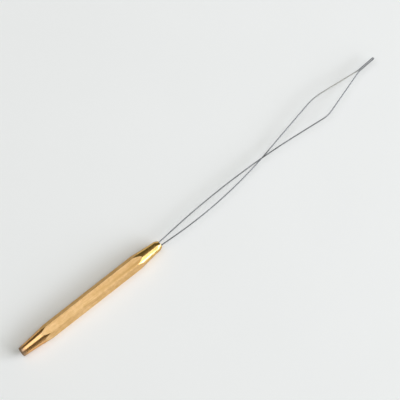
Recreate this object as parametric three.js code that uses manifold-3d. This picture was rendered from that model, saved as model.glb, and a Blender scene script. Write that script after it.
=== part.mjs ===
// A loop threader for needlework: a brass handle turned from hexagonal bar, and one spring wire folded in half.
// The wire's two ends are soldered into a bore in the handle's front end. Its two legs bow apart, cross once,
// open into the eye that takes the yarn, and run side by side to the fold at the tip.
// Millimetres, +Z up. The handle lies along X on one of its flats, with the loop towards +X.
// The origin is in the middle of that flat.
import * as THREE from 'three';
import { mergeVertices } from 'three/addons/utils/BufferGeometryUtils.js';
import Module from 'manifold-3d';

// The handle: hexagonal brass bar, turned to a cone at each end.
const handleLength = 73;
const acrossFlats = 6;
const ridgeRadius = 0.2;
const rearEndDiameter = 4.2;
const rearRoundRadius = 0.5;
const rearConeLength = 14.4;
const frontConeLength = 12.9;
const frontEndDiameter = 4.4;
const noseLength = 1.5;
const noseFaceDiameter = 3;
const coneHollow = 0.11;

// The blind bore in the nose, which holds the wire's ends.
const boreDiameter = 2.4;
const drillPointAngle = 118;

// The wire, which is one piece from end to end.
const wireDiameter = 0.5;
const wireInsertion = 12;
const innerEndSpacing = 0.6;
const mouthSpacing = 1.5;
const mouthBendRadius = 10;

// The loop lies along a line of its own, which leans a little from the handle's axis towards +Y.
// Places on it are given along that line from the handle's front face, and across it towards +Y.
const loopLeanAngle = 3.05;
const loopReach = 119;
const tipRunLength = 8.6;
const tipGap = 0.1;
const tipBendRadius = 5;

// Each leg is named for the side of the handle that it leaves. Beyond the crossing it lies on the other side.
const leftBellyAlong = 41.3;
const leftBellyAcross = 1.93;
const leftBellyRadius = 353;
const rightBellyAlong = 32.1;
const rightBellyAcross = 4.33;
const rightBellyRadius = 197;
const leftCornerSetback = 22;
const leftCornerAcross = 5.77;
const leftCornerRadius = 12;
const rightCornerSetback = 21.6;
const rightCornerAcross = 3.98;
const rightCornerRadius = 25;

// One leg passes over the other at the crossing, and both come back to the loop's plane away from it.
const crossingGap = 0.1;
const crossingHumpLength = 36;

// The solder fills the bore round both legs and stands a little proud of the face.
const solderFilm = 0.05;
const solderPastWire = 1;
const boreBelowSolder = 0.8;
const solderCrown = 0.3;

// How finely round shapes are faceted.
const turnedSides = 72;
const boreSides = 48;
const wireSides = 12;
const ridgeSteps = 4;
const coneSteps = 8;
const roundSteps = 4;
const crownSteps = 6;
const longestWireStep = 1.6;
const wireStepAngle = 15;
const crossingSamples = 300;

// Points nearer to each other than this are one point.
const mergeDistance = 1e-5;

const axisHeight = acrossFlats / 2;
const frontFaceX = handleLength / 2;
const rearFaceX = - handleLength / 2;
const solderLength = wireInsertion + solderPastWire;
const boreDepth = solderLength + boreBelowSolder;

const wasm = await Module();
wasm.setup();

// A closed geometry as a solid that can be joined and cut.
function toSolid( geometry ) {

	const bare = geometry.clone();
	bare.deleteAttribute( 'normal' );
	bare.deleteAttribute( 'uv' );
	const merged = mergeVertices( bare, mergeDistance );
	const corners = merged.index.array;
	const kept = [];
	for ( let i = 0; i < corners.length; i += 3 ) {

		const [ a, b, c ] = [ corners[ i ], corners[ i + 1 ], corners[ i + 2 ] ];
		if ( a !== b && b !== c && c !== a ) kept.push( a, b, c );

	}

	return new wasm.Manifold( new wasm.Mesh( {
		numProp: 3,
		vertProperties: new Float32Array( merged.attributes.position.array ),
		triVerts: new Uint32Array( kept )
	} ) );

}

function toGeometry( solid ) {

	const mesh = solid.getMesh();
	const geometry = new THREE.BufferGeometry();
	geometry.setAttribute( 'position', new THREE.BufferAttribute( mesh.vertProperties, 3 ) );
	geometry.setIndex( new THREE.BufferAttribute( mesh.triVerts, 1 ) );
	geometry.computeVertexNormals();
	return geometry;

}

// A body turned about the X axis. The profile runs from one end of the axis to the other, as [ x, radius ].
function turnedBody( profile, sides ) {

	const points = profile.map( ( [ x, radius ] ) => new THREE.Vector2( radius, x ) );
	return new THREE.LatheGeometry( points, sides ).rotateZ( - Math.PI / 2 );

}

// The bar's section: flats square to Z, and ridges drawn slightly round.
function hexagonSection() {

	const section = new THREE.Shape();
	const ridgeCentre = ( acrossFlats / 2 - ridgeRadius ) / Math.cos( Math.PI / 6 );
	for ( let ridge = 0; ridge < 6; ridge ++ ) {

		const angle = ( ridge + 0.5 ) * Math.PI / 3;
		const centreX = ridgeCentre * Math.cos( angle );
		const centreY = ridgeCentre * Math.sin( angle );
		section.absarc( centreX, centreY, ridgeRadius, angle - Math.PI / 6, angle + Math.PI / 6, false );

	}

	section.closePath();
	return section;

}

function hexagonBar() {

	const settings = { depth: handleLength, bevelEnabled: false, curveSegments: ridgeSteps };
	const bar = new THREE.ExtrudeGeometry( hexagonSection(), settings );
	return bar.rotateY( Math.PI / 2 ).translate( rearFaceX, 0, 0 );

}

// The points of a cone's side from one place to another, a little hollow in the middle of its length. The curve
// passes half as far from the straight line as the point that pulls it.
function hollowCone( startX, startRadius, endX, endRadius ) {

	const start = new THREE.Vector2( startX, startRadius );
	const end = new THREE.Vector2( endX, endRadius );
	const pull = start.clone().add( end ).divideScalar( 2 );
	pull.y -= 2 * coneHollow;
	return new THREE.QuadraticBezierCurve( start, pull, end ).getPoints( coneSteps ).map( ( p ) => [ p.x, p.y ] );

}

// The rear face and the quarter round at its edge.
function roundedRearEnd() {

	const points = [ [ rearFaceX, 0 ] ];
	for ( let step = 0; step < roundSteps; step ++ ) {

		const angle = step / roundSteps * Math.PI / 2;
		const x = rearFaceX + rearRoundRadius * ( 1 - Math.cos( angle ) );
		points.push( [ x, rearEndDiameter / 2 - rearRoundRadius * ( 1 - Math.sin( angle ) ) ] );

	}

	return points;

}

// What the lathe leaves: a rounded rear end, a long cone up to the bar, and a cone and a steeper nose in front.
function turnedEnvelope() {

	const ridgeReach = acrossFlats / 2 / Math.cos( Math.PI / 6 );
	const rearConeStart = rearFaceX + rearRoundRadius;
	const noseStart = frontFaceX - noseLength;
	return turnedBody( [
		...roundedRearEnd(),
		...hollowCone( rearConeStart, rearEndDiameter / 2, rearFaceX + rearConeLength, ridgeReach ),
		...hollowCone( frontFaceX - frontConeLength, ridgeReach, noseStart, frontEndDiameter / 2 ),
		[ frontFaceX, noseFaceDiameter / 2 ],
		[ frontFaceX, 0 ]
	], turnedSides );

}

// The drill that makes the bore, with its point.
function boreDrill() {

	const pointLength = boreDiameter / 2 / Math.tan( THREE.MathUtils.degToRad( drillPointAngle / 2 ) );
	const floorX = frontFaceX - boreDepth;
	return turnedBody( [
		[ floorX - pointLength, 0 ],
		[ floorX, boreDiameter / 2 ],
		[ frontFaceX + boreDiameter, boreDiameter / 2 ],
		[ frontFaceX + boreDiameter, 0 ]
	], boreSides );

}

function handleGeometry() {

	const turned = toSolid( hexagonBar() ).intersect( toSolid( turnedEnvelope() ) );
	return toGeometry( turned.subtract( toSolid( boreDrill() ) ) );

}

// A bend in a run of wire: the point where the straight parts would meet, and the radius that joins them.
function bend( x, y, radius ) {

	return { point: new THREE.Vector2( x, y ), radius };

}

// A bend on the loop's own line.
function loopBend( along, across, radius ) {

	const place = bend( along, across, radius );
	place.point.rotateAround( new THREE.Vector2( 0, 0 ), THREE.MathUtils.degToRad( loopLeanAngle ) );
	return place;

}

// The flat line of a bent wire, with an arc at every bend but the first and the last. Where the straight part
// beside a bend is too short for its arc, the arc gets a smaller radius.
function bentLine( bends ) {

	const path = new THREE.Path();
	path.moveTo( bends[ 0 ].point.x, bends[ 0 ].point.y );
	for ( let i = 1; i < bends.length - 1; i ++ ) {

		const { point, radius } = bends[ i ];
		const before = bends[ i - 1 ].point.clone().sub( point );
		const after = bends[ i + 1 ].point.clone().sub( point );
		const halfTurn = ( Math.PI - before.angleTo( after ) ) / 2;
		const room = Math.min( before.length(), after.length() );
		const tangent = Math.min( radius * Math.tan( halfTurn ), room );
		const arcRadius = tangent / Math.tan( halfTurn );
		const start = before.clone().setLength( tangent ).add( point );
		const turnsLeft = before.cross( after ) < 0;
		const inward = before.clone().setLength( 1 ).add( after.clone().setLength( 1 ) );
		const centre = inward.setLength( arcRadius / Math.cos( halfTurn ) ).add( point );
		const end = after.clone().setLength( tangent ).add( point );
		if ( start.distanceTo( path.currentPoint ) > mergeDistance ) path.lineTo( start.x, start.y );
		const startAngle = Math.atan2( start.y - centre.y, start.x - centre.x );
		const endAngle = Math.atan2( end.y - centre.y, end.x - centre.x );
		path.absarc( centre.x, centre.y, arcRadius, startAngle, endAngle, ! turnsLeft );

	}

	const last = bends[ bends.length - 1 ].point;
	path.lineTo( last.x, last.y );
	return path;

}

// The part of a leg inside the bore, from its inner end to the mouth. The side is 1 on the left and -1 on the right.
function legInBore( side, pastEnd ) {

	return [
		bend( - wireInsertion - pastEnd, side * innerEndSpacing / 2, 0 ),
		bend( 0, side * mouthSpacing / 2, mouthBendRadius )
	];

}

// The whole wire in plan: out along the left leg, round the fold, and back along the right leg.
function wirePlan() {

	const tipHalf = ( wireDiameter + tipGap ) / 2;
	const foldAlong = loopReach - wireDiameter / 2;
	const tipRunStart = loopReach - tipRunLength;
	const out = [
		...legInBore( 1, 0 ),
		loopBend( leftBellyAlong, leftBellyAcross, leftBellyRadius ),
		loopBend( tipRunStart - leftCornerSetback, - leftCornerAcross, leftCornerRadius ),
		loopBend( tipRunStart, - tipHalf, tipBendRadius ),
		loopBend( foldAlong, - tipHalf, tipHalf )
	];
	const back = [
		...legInBore( - 1, 0 ),
		loopBend( rightBellyAlong, - rightBellyAcross, rightBellyRadius ),
		loopBend( tipRunStart - rightCornerSetback, rightCornerAcross, rightCornerRadius ),
		loopBend( tipRunStart, tipHalf, tipBendRadius ),
		loopBend( foldAlong, tipHalf, tipHalf )
	];
	return bentLine( [ ...out, ...back.reverse() ] );

}

// Where the two legs cross in plan: the nearest points of the two halves of the wire behind the eye's corners.
function crossingPlace( plan ) {

	const furthest = loopReach - tipRunLength - Math.max( leftCornerSetback, rightCornerSetback );
	const points = plan.getSpacedPoints( crossingSamples );
	const half = crossingSamples / 2;
	const behindEye = ( point ) => point.x > 0 && point.x < furthest;
	const left = points.slice( 0, half ).filter( behindEye );
	const right = points.slice( half ).filter( behindEye );
	const nearest = { distance: Infinity, x: 0 };
	for ( const a of left ) {

		for ( const b of right ) {

			const distance = a.distanceTo( b );
			if ( distance < nearest.distance ) Object.assign( nearest, { distance, x: ( a.x + b.x ) / 2 } );

		}

	}

	return nearest.x;

}

// The wire's middle line in space. It is followed by stations, close together in the bends and further apart
// on the straight parts, and the left leg rises over the right one at the crossing.
class WireLine extends THREE.Curve {

	constructor( plan, humpAt, humpHeight ) {

		super();
		this.plan = plan;
		this.humpAt = humpAt;
		this.humpHeight = humpHeight;
		this.stations = WireLine.stationsOf( plan );

	}

	static stationsOf( plan ) {

		const lengths = plan.curves.map( ( curve ) => curve.getLength() );
		const total = lengths.reduce( ( sum, length ) => sum + length, 0 );
		const stations = [ 0 ];
		let done = 0;
		plan.curves.forEach( ( curve, i ) => {

			const turn = curve.isEllipseCurve ? turnOf( curve ) : 0;
			const byTurn = turn / THREE.MathUtils.degToRad( wireStepAngle );
			const steps = Math.max( 1, Math.ceil( byTurn ), Math.ceil( lengths[ i ] / longestWireStep ) );
			for ( let step = 1; step <= steps; step ++ ) stations.push( ( done + lengths[ i ] * step / steps ) / total );
			done += lengths[ i ];

		} );
		return stations;

	}

	get steps() {

		return this.stations.length - 1;

	}

	// Steps along the line go from station to station and not by length.
	getUtoTmapping( u ) {

		return u;

	}

	getPoint( t, target = new THREE.Vector3() ) {

		const place = t * this.steps;
		const index = Math.min( Math.floor( place ), this.steps - 1 );
		const share = THREE.MathUtils.lerp( this.stations[ index ], this.stations[ index + 1 ], place - index );
		const flat = this.plan.getPoint( Math.min( share, 1 ) );
		const away = Math.abs( flat.x - this.humpAt ) / ( crossingHumpLength / 2 );
		const rise = away < 1 ? this.humpHeight * ( 1 + Math.cos( Math.PI * away ) ) / 2 : 0;
		return target.set( flat.x, flat.y, share < 0.5 ? rise : - rise );

	}

}

// The angle that an arc turns through.
function turnOf( arc ) {

	const turn = arc.aEndAngle - arc.aStartAngle;
	const signed = arc.aClockwise ? - turn : turn;
	return THREE.MathUtils.euclideanModulo( signed, Math.PI * 2 );

}

// A round rod of the given diameter along a line.
function rodAlong( line, diameter ) {

	const section = new THREE.Shape();
	section.absarc( 0, 0, diameter / 2, 0, Math.PI * 2, false );
	const settings = { steps: line.steps, curveSegments: wireSides / 2, bevelEnabled: false, extrudePath: line };
	return new THREE.ExtrudeGeometry( section, settings );

}

function loopWireGeometry() {

	const plan = wirePlan();
	return rodAlong( new WireLine( plan, crossingPlace( plan ), ( wireDiameter + crossingGap ) / 2 ), wireDiameter );

}

// The room that one leg needs in the solder, from past its inner end to well outside the bore.
function legRoom( side ) {

	const belly = side > 0
		? loopBend( leftBellyAlong, leftBellyAcross, 0 )
		: loopBend( rightBellyAlong, - rightBellyAcross, 0 );
	const plan = bentLine( [ ...legInBore( side, solderFilm ), belly ] );
	return rodAlong( new WireLine( plan, 0, 0 ), wireDiameter + 2 * solderFilm );

}

// The solder as it sets: a plug that fills the bore, with a low crown round the legs at the mouth.
function solderPlugGeometry() {

	const radius = boreDiameter / 2 - solderFilm;
	const profile = [ [ - solderLength, 0 ], [ - solderLength, radius ] ];
	for ( let step = 0; step <= crownSteps; step ++ ) {

		const angle = step / crownSteps * Math.PI / 2;
		profile.push( [ solderCrown * Math.sin( angle ), step < crownSteps ? radius * Math.cos( angle ) : 0 ] );

	}

	const plug = toSolid( turnedBody( profile, boreSides ) );
	return toGeometry( plug.subtract( toSolid( legRoom( 1 ) ) ).subtract( toSolid( legRoom( - 1 ) ) ) );

}

const brass = new THREE.MeshStandardMaterial( { color: 0xe0b673, metalness: 1, roughness: 0.38 } );
const springSteel = new THREE.MeshStandardMaterial( { color: 0x8f9194, metalness: 1, roughness: 0.35 } );
const solder = new THREE.MeshStandardMaterial( { color: 0xb9b8b2, metalness: 1, roughness: 0.45 } );

function namedMesh( name, geometry, material ) {

	const mesh = new THREE.Mesh( geometry, material );
	mesh.name = name;
	return mesh;

}

const threader = new THREE.Group();
const handle = namedMesh( 'handle', handleGeometry(), brass );
handle.position.z = axisHeight;
threader.add( handle );

// What is held in the bore is placed from the middle of the handle's front face.
const frontFace = new THREE.Group();
frontFace.position.set( frontFaceX, 0, axisHeight );
frontFace.add( namedMesh( 'loop_wire', loopWireGeometry(), springSteel ) );
frontFace.add( namedMesh( 'solder_plug', solderPlugGeometry(), solder ) );
threader.add( frontFace );

export default threader;
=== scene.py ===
import cmath
import math

import bmesh
import bpy
from mathutils import Matrix, Vector


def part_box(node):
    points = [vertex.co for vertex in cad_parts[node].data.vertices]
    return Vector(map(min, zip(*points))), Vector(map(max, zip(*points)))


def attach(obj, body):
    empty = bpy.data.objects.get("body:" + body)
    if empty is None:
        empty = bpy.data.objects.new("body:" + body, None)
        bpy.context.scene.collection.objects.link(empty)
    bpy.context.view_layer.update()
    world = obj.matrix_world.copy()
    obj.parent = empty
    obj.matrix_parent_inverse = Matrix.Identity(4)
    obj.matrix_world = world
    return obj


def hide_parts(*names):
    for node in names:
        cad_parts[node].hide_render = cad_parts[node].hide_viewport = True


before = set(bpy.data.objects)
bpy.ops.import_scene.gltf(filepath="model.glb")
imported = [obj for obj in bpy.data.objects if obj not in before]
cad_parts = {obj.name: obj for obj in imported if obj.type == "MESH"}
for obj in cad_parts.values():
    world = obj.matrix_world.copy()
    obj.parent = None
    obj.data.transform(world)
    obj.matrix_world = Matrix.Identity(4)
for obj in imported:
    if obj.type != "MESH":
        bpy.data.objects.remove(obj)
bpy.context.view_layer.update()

# The camera looks down on the table from the picture's lower edge. The handle points to the upper right, and
# the middle of the picture falls on the loop, between the handle and the place where the legs cross.
mm = 0.001
picture_width_px = 400
metres_per_px = 0.4137 * mm
middle_of_picture = Vector((61.07 * mm, 4.19 * mm, 3 * mm))
handle_heading = math.radians(38.68)
view_tilt = math.radians(12.5)
camera_distance = 2.5

picture_right = Vector((math.cos(handle_heading), -math.sin(handle_heading), 0))
picture_up = Vector((math.sin(handle_heading), math.cos(handle_heading), 0))
towards_camera = math.cos(view_tilt) * Vector((0, 0, 1)) - math.sin(view_tilt) * picture_up
camera_axes = Matrix((picture_right, towards_camera.cross(picture_right), towards_camera)).transposed()

camera_data = bpy.data.cameras.new("camera")
camera_data.lens = camera_data.sensor_width * camera_distance / (picture_width_px * metres_per_px)
camera = bpy.data.objects.new("camera", camera_data)
camera.matrix_world = Matrix.LocRotScale(
    middle_of_picture + camera_distance * towards_camera, camera_axes, None)
bpy.context.scene.collection.objects.link(camera)
bpy.context.scene.camera = camera


# The handle is a length of drawn hexagonal brass bar. Both its ends are turned to slightly hollow cones in a
# lathe, which leaves a scallop on each flat, and the front end is drilled from its face for the wire.
handle_low, handle_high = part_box("handle")
axis_height = (handle_low.z + handle_high.z) / 2
flat_reach = (handle_high.z - handle_low.z) / 2
ridge_reach = flat_reach / math.cos(math.pi / 6)
rear_end_radius = 2.1 * mm
rear_round = 0.5 * mm
rear_cone_length = 14.4 * mm
front_cone_length = 12.9 * mm
front_end_radius = 2.2 * mm
nose_length = 1.5 * mm
nose_face_radius = 1.5 * mm
cone_hollow = 0.11 * mm
bore_radius = 1.2 * mm
bore_depth = 13.8 * mm
drill_point_angle = math.radians(118)
drill_point_length = bore_radius / math.tan(drill_point_angle / 2)
ridge_round = 0.2 * mm
ridge_planes = 7
broken_edge = 0.05 * mm
crisp_angle = math.radians(17)
sixth_of_a_turn = math.pi / 3
facets_per_flat = 60
facet_angle = sixth_of_a_turn / facets_per_flat
plain_cone_rings = 10
round_rings = 6
same_place = 0.001 * mm


def cone_side(thin_x, thin_radius, thick_x):
    """A cone's side from its thin end up to the bar's ridges, as (x, radius). Where the flats cut it, it
    has a ring wherever a flat's edge crosses a line between two facets."""
    sag = 4 * cone_hollow
    rise = ridge_reach - thin_radius - sag

    def share_at(radius):
        return (math.sqrt(rise ** 2 + 4 * sag * (radius - thin_radius)) - rise) / (2 * sag)

    first_cut = share_at(flat_reach)
    shares = [first_cut * ring / plain_cone_rings for ring in range(plain_cone_rings)]
    for facet in range(facets_per_flat // 2 + 1):
        shares.append(share_at(flat_reach / math.cos(facet * facet_angle)))
    return [(thin_x + (thick_x - thin_x) * s, thin_radius + rise * s + sag * s ** 2) for s in shares]


def turned_profile():
    """The lathe's line, as (x, radius), from the rear face's middle over both cones and down the bore."""
    rear, front = handle_low.x, handle_high.x
    line = [(rear, 0)]
    for ring in range(round_rings):
        angle = ring / round_rings * math.pi / 2
        line.append((
            rear + rear_round * (1 - math.cos(angle)),
            rear_end_radius - rear_round * (1 - math.sin(angle))))
    line += cone_side(rear + rear_round, rear_end_radius, rear + rear_cone_length)
    line += reversed(cone_side(front - nose_length, front_end_radius, front - front_cone_length))
    line += [(front, nose_face_radius), (front, bore_radius)]
    line += [(front - bore_depth, bore_radius), (front - bore_depth - drill_point_length, 0)]
    return line


def turned_body(profile):
    """A body turned about the handle's axis from a line of (x, radius)."""
    body = bmesh.new()
    line = [body.verts.new((x, 0, axis_height + radius)) for x, radius in profile]
    edges = [body.edges.new(pair) for pair in zip(line, line[1:])]
    bmesh.ops.spin(
        body, geom=line + edges, cent=(0, 0, axis_height), axis=(1, 0, 0), angle=2 * math.pi,
        steps=6 * facets_per_flat, use_merge=True)
    bmesh.ops.remove_doubles(body, verts=body.verts, dist=same_place)
    bmesh.ops.recalc_face_normals(body, faces=body.faces)
    for face in body.faces:
        face.smooth = True
    return body


drawn, turned = 0, 1
handle_body = turned_body(turned_profile())
rims = [edge for edge in handle_body.edges if edge.calc_face_angle(0) > crisp_angle]
bmesh.ops.bevel(
    handle_body, geom=rims, offset=broken_edge, offset_type="OFFSET", affect="EDGES", segments=3,
    profile=0.5, material=-1, clamp_overlap=True)
for face in handle_body.faces:
    face.material_index = turned
    face.smooth = True
planes_per_side = ridge_planes + 1
ridge_centre = (flat_reach - ridge_round) / math.cos(sixth_of_a_turn / 2)
for plane in range(6 * planes_per_side):
    plane_angle = plane / planes_per_side * sixth_of_a_turn
    from_ridge = plane_angle % sixth_of_a_turn - sixth_of_a_turn / 2
    reach = ridge_centre * math.cos(from_ridge) + ridge_round
    outwards = Vector((0, math.sin(plane_angle), math.cos(plane_angle)))
    bmesh.ops.bisect_plane(
        handle_body, geom=handle_body.verts[:] + handle_body.edges[:] + handle_body.faces[:],
        dist=same_place, plane_co=Vector((0, 0, axis_height)) + reach * outwards,
        plane_no=outwards, clear_outer=True)
    outline = [edge for edge in handle_body.edges if edge.is_boundary]
    for face in bmesh.ops.holes_fill(handle_body, edges=outline, sides=0)["faces"]:
        face.material_index = drawn
        face.smooth = True
bmesh.ops.recalc_face_normals(handle_body, faces=handle_body.faces)
for edge in handle_body.edges:
    edge.smooth = len({face.material_index for face in edge.link_faces}) == 1

handle_mesh = bpy.data.meshes.new("brass_handle")
handle_body.to_mesh(handle_mesh)
handle_body.free()
brass_handle = bpy.data.objects.new("brass_handle", handle_mesh)
bpy.context.scene.collection.objects.link(brass_handle)
brass_handle.modifiers.new("even_shading", "WEIGHTED_NORMAL").keep_sharp = True


class Socket:
    """An output of a material's or the room's node. Sums and products of values add their Math nodes."""

    def __init__(self, tree, output):
        self.tree = tree
        self.output = output

    def add(self, kind, settings, inputs, output=0):
        """Adds a node of any kind: its settings first, then the values or links of its sockets."""
        node = self.tree.nodes.new("ShaderNode" + kind)
        for name, value in settings.items():
            setattr(node, name, value)
        for name, value in inputs.items():
            if isinstance(value, Socket):
                self.tree.links.new(value.output, node.inputs[name])
            else:
                node.inputs[name].default_value = value
        return Socket(self.tree, node.outputs[output]) if node.outputs else None

    def math(self, operation, first, second):
        return self.add("Math", {"operation": operation}, {0: first, 1: second})

    def __add__(self, other):
        return self.math("ADD", self, other)

    __radd__ = __add__

    def __sub__(self, other):
        return self.math("SUBTRACT", self, other)

    def __rsub__(self, other):
        return self.math("SUBTRACT", other, self)

    def __mul__(self, other):
        return self.math("MULTIPLY", self, other)

    __rmul__ = __mul__

    def noise(self, size, stretch=(1, 1, 1), detail=2, turn=0):
        """Uneven patches about as wide as size, in metres, drawn out by stretch along each axis, and turned
        in plan."""
        squeezed = self.add("Mapping", {"vector_type": "TEXTURE"}, {
            "Vector": self, "Rotation": (0, 0, turn), "Scale": [size * s for s in stretch]})
        return self.add("TexNoise", {}, {"Vector": squeezed, "Scale": 1, "Detail": detail})

    def between(self, low, high):
        """A value that goes from 0 to 1 as this one goes from low to high."""
        return self.add("MapRange", {"clamp": True}, {"Value": self, "From Min": low, "From Max": high})

    def blend(self, colour, other_colour):
        """The first colour where this value is 0 and the other where it is 1."""
        return self.add("Mix", {"data_type": "RGBA"}, {0: self, 6: colour, 7: other_colour}, 2)


def new_material(name):
    """A bare material, and the place on the piece that its patterns read, in metres."""
    material = bpy.data.materials.new(name)
    material.use_nodes = True
    material.node_tree.nodes.clear()
    return material, Socket(material.node_tree, None).add("TexCoord", {}, {}, "Object")


def drawn_brass():
    """The bar's flats: satin, with draw lines and a few scratches, dull patches and specks of tarnish. The
    front half has darkened a little where the fingers hold it, most of all in a streak on the top flat."""
    material, place = new_material("drawn_brass")
    deep_gold = (0.71, 0.43, 0.165, 1)
    pale_gold = (0.93, 0.63, 0.32, 1)
    tarnished = (0.62, 0.37, 0.13, 1)
    grip_fades_in = (0, 24 * mm)
    streak_right_edge = (-1.7 * mm, -0.9 * mm)
    streak_left_edge = (0, -0.8 * mm)
    patches = place.noise(1.3 * mm, stretch=(1.5, 1, 1)).between(0.35, 0.65)
    streaks = place.noise(0.9 * mm, stretch=(14, 1, 1)).between(0.35, 0.65)
    lines = place.noise(0.06 * mm, stretch=(70, 1, 1), detail=3)
    grain = place.noise(0.1 * mm)
    long_scratches = place.noise(0.04 * mm, stretch=(50, 1, 1), detail=1, turn=math.radians(24))
    fine_scratches = place.noise(0.03 * mm, stretch=(70, 1, 1), detail=1, turn=math.radians(-9))
    scratches = long_scratches.between(0.66, 0.74) + fine_scratches.between(0.66, 0.74)
    specks = place.noise(0.5 * mm, detail=3).between(0.60, 0.70)
    tarnish = place.noise(6 * mm, detail=4).between(0.5, 0.75)
    held = place.add("SeparateXYZ", {}, {0: place}, "X").between(*grip_fades_in)
    across = place.add("SeparateXYZ", {}, {0: place}, "Y")
    streak = held * across.between(*streak_right_edge) * across.between(*streak_left_edge)
    clean = (patches * 0.5 + streaks * 0.5).blend(deep_gold, pale_gold)
    darkened = tarnish * 0.3 + specks * 0.35 + held * 0.2 + streak
    colour = darkened.blend(clean, tarnished)
    bump = place.add("Bump", {}, {
        "Height": lines * 0.7 + grain * 0.4 - scratches * 0.3, "Strength": 0.7, "Distance": 0.02 * mm})
    shader = place.add("BsdfPrincipled", {}, {
        "Base Color": colour, "Metallic": 1,
        "Roughness": 0.33 + lines * 0.12 + patches * 0.08 + specks * 0.08 - scratches * 0.06,
        "Specular Tint": (0.6, 0.55, 0.45, 1), "Normal": bump})
    place.add("OutputMaterial", {}, {"Surface": shader})
    return material


def turned_brass():
    """The cones, the nose and the end faces: bright, with the lathe tool's fine rings. The rear cone has
    warmed in tone from handling, and its last few millimetres are darker, browner and duller."""
    material, place = new_material("turned_brass")
    clear_gold = (0.88, 0.565, 0.22, 1)
    smeared_gold = (0.81, 0.515, 0.18, 1)
    warm_gold = (0.89, 0.50, 0.22, 1)
    dull_brown = (0.37, 0.265, 0.19, 1)
    ring_pitch = 0.09 * mm
    warm_from = -20 * mm
    dark_end_length = 2.6 * mm
    from_axis = place.add("Mapping", {}, {
        "Vector": place, "Location": (0, 0, -axis_height), "Scale": (0, 1, 1)})
    radius = place.add("VectorMath", {"operation": "LENGTH"}, {0: from_axis}, "Value")
    along = place.add("SeparateXYZ", {}, {0: place}, "X")
    tool_path = (along + radius) * (1 / ring_pitch)
    rings = place.add("TexNoise", {"noise_dimensions": "1D"}, {"W": tool_path, "Scale": 1, "Detail": 2})
    smears = place.noise(1.8 * mm, detail=3).between(0.4, 0.7)
    fresh = smears.blend(clear_gold, smeared_gold)
    handled = along.between(0, warm_from).blend(fresh, warm_gold)
    # Over the rear end's last 2.6 mm the colour turns darker and browner and the surface rougher.
    dark_dull_end = along.between(handle_low.x + dark_end_length, handle_low.x)
    colour = dark_dull_end.blend(handled, dull_brown)
    bump = place.add("Bump", {}, {"Height": rings, "Strength": 0.5, "Distance": 0.005 * mm})
    shader = place.add("BsdfPrincipled", {}, {
        "Base Color": colour, "Metallic": 1,
        "Roughness": 0.14 + rings * 0.09 + smears * 0.05 + dark_dull_end * 0.25,
        "Specular Tint": (0.35, 0.3, 0.2, 1), "Normal": bump})
    place.add("OutputMaterial", {}, {"Surface": shader})
    return material


handle_mesh.materials.append(drawn_brass())
handle_mesh.materials.append(turned_brass())
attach(brass_handle, "root")
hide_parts("handle")


# The loop is one hard-drawn steel wire, folded in half at the tip. Its legs bow apart, cross once, open into
# the eye and run side by side to the fold. Both ends go back into the handle's bore.
wire_radius = 0.25 * mm

# The wire's line is laid out in millimetres, in complex numbers whose real part runs out from the handle.
# A belly or a corner is three numbers: how far out it is, how far to the side, and the bend's radius.
bore_reach = 12
inner_end_spacing = 0.6
mouth_spacing = 1.5
mouth_bend_radius = 10
left_belly = (41.3, 1.93, 353)
right_belly = (32.1, 4.33, 197)
left_corner = (88.4, 5.77, 12)
right_corner = (88.8, 3.98, 25)
tip_run_start = 110.4
tip_bend_radius = 5
strand_offset = 0.3
loop_reach = 119
lean_angle = math.radians(3.05)
loop_lean = cmath.exp(1j * lean_angle)
eye_starts = 80
crossing_rise = 0.3
crossing_hump = 36
wire_step = 0.8
arc_step = math.radians(6)


def leg(side, belly, corner):
    """The bends of one leg from its inner end to the fold, each with its radius, from the middle of the
    handle's front face. The leg starts on its side, 1 on the left or -1 on the right, and crosses over
    between its belly and its corner."""
    return [
        (complex(-bore_reach, side * inner_end_spacing / 2), 0),
        (complex(0, side * mouth_spacing / 2), mouth_bend_radius),
        (loop_lean * complex(belly[0], side * belly[1]), belly[2]),
        (loop_lean * complex(corner[0], -side * corner[1]), corner[2]),
        (loop_lean * complex(tip_run_start, -side * strand_offset), tip_bend_radius),
        (loop_lean * complex(loop_reach - wire_radius / mm, -side * strand_offset), strand_offset),
    ]


def bent_line(bends):
    """Points along a wire that runs straight from bend to bend and turns each one on its own radius."""
    line = [bends[0][0]]
    for (before, _), (corner, radius), (after, _) in zip(bends, bends[1:], bends[2:]):
        way_in = (corner - before) / abs(corner - before)
        way_out = (after - corner) / abs(after - corner)
        turn = cmath.phase(way_out / way_in)
        start = corner - way_in * radius * math.tan(abs(turn) / 2)
        centre = start + way_in * 1j * math.copysign(radius, turn)
        steps = max(math.ceil(abs(turn) / arc_step), math.ceil(abs(turn) * radius / wire_step))
        for step in range(steps + 1):
            line.append(centre + (start - centre) * cmath.exp(1j * turn * step / steps))
    line.append(bends[-1][0])
    return line


def filled_in(line):
    """The same line with points no further apart than the wire's step."""
    filled = line[:1]
    for start, end in zip(line, line[1:]):
        steps = math.ceil(abs(end - start) / wire_step)
        filled += [start + (end - start) * step / steps for step in range(1, steps + 1)]
    return filled


left_leg = leg(1, left_belly, left_corner)
right_leg = leg(-1, right_belly, right_corner)
wire_line = filled_in(bent_line(left_leg + right_leg[::-1]))
fold = max(range(len(wire_line)), key=lambda i: wire_line[i].real)
left_points = [p for p in wire_line[:fold] if 0 < p.real < eye_starts]
right_points = [p for p in wire_line[fold:] if 0 < p.real < eye_starts]
crossing = min((abs(a - b), a.real) for a in left_points for b in right_points)[1]

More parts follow.
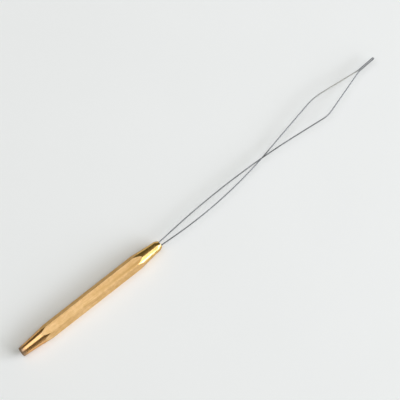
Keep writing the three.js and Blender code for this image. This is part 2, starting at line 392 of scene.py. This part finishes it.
wire_curve = bpy.data.curves.new("steel_loop", "CURVE")
wire_curve.dimensions = "3D"
wire_curve.bevel_depth = wire_radius
wire_curve.bevel_resolution = 6
wire_curve.use_fill_caps = True
spline = wire_curve.splines.new("POLY")
spline.points.add(len(wire_line) - 1)
for index, point in enumerate(wire_line):
    away = min(1, abs(point.real - crossing) / (crossing_hump / 2))
    rise = math.copysign(crossing_rise * (1 + math.cos(math.pi * away)) / 2, fold - index)
    spline.points[index].co = (
        handle_high.x + point.real * mm, point.imag * mm, axis_height + rise * mm, 1)
wire_shape = bpy.data.objects.new("wire_shape", wire_curve)
wire_mesh = bpy.data.meshes.new_from_object(wire_shape)
bpy.data.objects.remove(wire_shape)
wire_body = bmesh.new()
wire_body.from_mesh(wire_mesh)
bmesh.ops.remove_doubles(wire_body, verts=wire_body.verts, dist=same_place)
bmesh.ops.recalc_face_normals(wire_body, faces=wire_body.faces)
wire_body.to_mesh(wire_mesh)
wire_body.free()
steel_loop = bpy.data.objects.new("steel_loop", wire_mesh)
bpy.context.scene.collection.objects.link(steel_loop)


def drawn_steel():
    """Hard-drawn spring wire: grey, with the die's fine scratches along it. The eye's left strand is
    lighter from its bend to the tip: a painted glint."""
    material, place = new_material("drawn_steel")
    dark_grey = (0.20, 0.205, 0.215, 1)
    light_grey = (0.29, 0.296, 0.307, 1)
    painted_glint_grey = (0.56, 0.55, 0.525, 1)
    right_to_left = (-0.2 * mm, 0.2 * mm)
    glint_begins = (86 * mm, 97 * mm)
    glint_ends = (111 * mm, 108 * mm)
    scratches = place.noise(0.03 * mm, stretch=(80, 1, 1), detail=3)
    patches = place.noise(2.5 * mm, stretch=(3, 1, 1), detail=3).between(0.35, 0.65)
    from_handle = place.add("SeparateXYZ", {}, {0: place}, "X") - handle_high.x
    to_left = place.add("SeparateXYZ", {}, {0: place}, "Y") - from_handle * math.tan(lean_angle)
    left_strand = to_left.between(*right_to_left)
    # Painted glint: from its bend to the tip, the eye's left strand is a lighter grey that stands for a
    # reflection.
    painted_glint = left_strand * from_handle.between(*glint_begins) * from_handle.between(*glint_ends)
    colour = painted_glint.blend(patches.blend(dark_grey, light_grey), painted_glint_grey)
    bump = place.add("Bump", {}, {"Height": scratches, "Strength": 0.5, "Distance": 0.002 * mm})
    shader = place.add("BsdfPrincipled", {}, {
        "Base Color": colour, "Metallic": 1, "Roughness": 0.30 + scratches * 0.12 + patches * 0.06,
        "Normal": bump})
    place.add("OutputMaterial", {}, {"Surface": shader})
    return material


wire_mesh.materials.clear()
wire_mesh.materials.append(drawn_steel())
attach(steel_loop, "root")
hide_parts("loop_wire")


# The joint is soft solder, run into the bore round both legs. It wets the bore's wall just inside the mouth,
# sets with a low crown, and climbs a little way up each wire.
solder_length = 13 * mm
solder_edge = handle_high.x - 0.09 * mm
crown_height = 0.3 * mm
climb_height = 0.16 * mm
climb_width = 0.3 * mm
crown_rings = 12

solder_profile = [(handle_high.x - solder_length, 0), (handle_high.x - solder_length, bore_radius)]
for ring in range(crown_rings + 1):
    angle = ring / crown_rings * math.pi / 2
    crown_radius = bore_radius * math.cos(angle) if ring < crown_rings else 0
    crown_top = handle_high.x + crown_height - climb_height
    solder_profile.append((solder_edge + (crown_top - solder_edge) * math.sin(angle), crown_radius))
solder_body = turned_body(solder_profile)
for vert in solder_body.verts:
    if vert.co.x > handle_high.x:
        for side in (1, -1):
            to_wire = math.hypot(vert.co.y - side * mouth_spacing / 2 * mm, vert.co.z - axis_height)
            vert.co.x += climb_height * math.exp(-(to_wire / climb_width) ** 2)
solder_mesh = bpy.data.meshes.new("solder_joint")
solder_body.to_mesh(solder_mesh)
solder_body.free()
solder_joint = bpy.data.objects.new("solder_joint", solder_mesh)
bpy.context.scene.collection.objects.link(solder_joint)


def soft_solder():
    """Solder as it sets: dull silver, a little lumpy, with a brown trace of flux."""
    material, place = new_material("soft_solder")
    dull_silver = (0.60, 0.59, 0.56, 1)
    flux_brown = (0.42, 0.33, 0.20, 1)
    lumps = place.noise(0.5 * mm, detail=3)
    frost = place.noise(0.06 * mm)
    flux = place.noise(0.9 * mm).between(0.52, 0.72)
    colour = (flux * 0.6).blend(dull_silver, flux_brown)
    bump = place.add("Bump", {}, {
        "Height": lumps + frost * 0.15, "Strength": 0.6, "Distance": 0.06 * mm})
    shader = place.add("BsdfPrincipled", {}, {
        "Base Color": colour, "Metallic": 1 - flux * 0.5, "Roughness": 0.34 + frost * 0.16, "Normal": bump})
    place.add("OutputMaterial", {}, {"Surface": shader})
    return material


solder_mesh.materials.append(soft_solder())
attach(solder_joint, "root")
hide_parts("solder_plug")


# The table is plain, matt and pale, without an edge in sight. The handle lies on it on one of its flats, and
# holds the loop a few millimetres above it.
table_radius = 3
table_sides = 96
table_drop = 0.02 * mm
table_body = bmesh.new()
bmesh.ops.create_circle(
    table_body, cap_ends=True, segments=table_sides, radius=table_radius,
    matrix=Matrix.Translation((0, 0, handle_low.z - table_drop)))
table_mesh = bpy.data.meshes.new("table")
table_body.to_mesh(table_mesh)
table_body.free()
table = bpy.data.objects.new("table", table_mesh)
bpy.context.scene.collection.objects.link(table)


def table_top():
    """A matt white top, very slightly uneven in tone."""
    material, place = new_material("table_top")
    off_white = (0.935, 0.945, 0.94, 1)
    white = (0.965, 0.975, 0.97, 1)
    colour = place.noise(60 * mm).blend(off_white, white)
    shader = place.add("BsdfPrincipled", {}, {
        "Base Color": colour, "Roughness": 1, "Specular IOR Level": 0})
    place.add("OutputMaterial", {}, {"Surface": shader})
    return material


table_mesh.materials.append(table_top())


# The light is a low window on the picture's right, a dimmer screen that leans over the tool from there, a
# panel under the ceiling, and a dim wall beyond the picture's lower edge. The rest of the room is dark and
# warm, so that the polished cones keep their dark bands, but seen directly it is pale.
def soft_panel(name, centre, normal, width, height, radiance, colour):
    """A flat, evenly bright panel, whose width runs level."""
    data = bpy.data.lights.new(name, "AREA")
    data.shape = "RECTANGLE"
    data.size = width
    data.size_y = height
    data.energy = radiance * math.pi * width * height
    data.color = colour
    back = -Vector(normal).normalized()
    level = Vector((-back.y, back.x, 0)) if back.xy.length else Vector((1, 0, 0))
    level.normalize()
    panel = bpy.data.objects.new(name, data)
    panel.matrix_world = Matrix.LocRotScale(
        Vector(centre), Matrix((level, back.cross(level), back)).transposed(), None)
    panel.visible_camera = False
    bpy.context.scene.collection.objects.link(panel)


soft_panel(
    "window", centre=(1.989, -2.133, 1.08), normal=(-0.682, 0.731, 0),
    width=2.97, height=1.34, radiance=6, colour=(0.88, 0.91, 1))
soft_panel(
    "screen", centre=(1.655, -0.93, 1.28), normal=(0, 0.588, -0.809),
    width=2.43, height=1.96, radiance=1.95, colour=(0.95, 0.96, 1))
soft_panel(
    "ceiling", centre=(-0.37, 0.48, 2), normal=(0, 0, -1),
    width=1.58, height=2.16, radiance=1.61, colour=(0.93, 0.95, 1))
soft_panel(
    "wall", centre=(-1.6, -2.4, 0.9), normal=(0.555, 0.832, 0),
    width=3, height=1.8, radiance=0.6, colour=(1, 1, 1))

world = bpy.data.worlds.new("room")
bpy.context.scene.world = world
world.use_nodes = True
world.node_tree.nodes.clear()
dark_room = (0.11, 0.102, 0.055, 1)
pale_room = (0.8, 0.81, 0.82, 1)
room = Socket(world.node_tree, None)
seen_directly = room.add("LightPath", {}, {}, "Is Camera Ray")
room_colour = seen_directly.blend(dark_room, pale_room)
room_light = room.add("Background", {}, {"Color": room_colour, "Strength": 1})
room.add("OutputWorld", {}, {"Surface": room_light})
bpy.context.scene.view_settings.view_transform = "Standard"
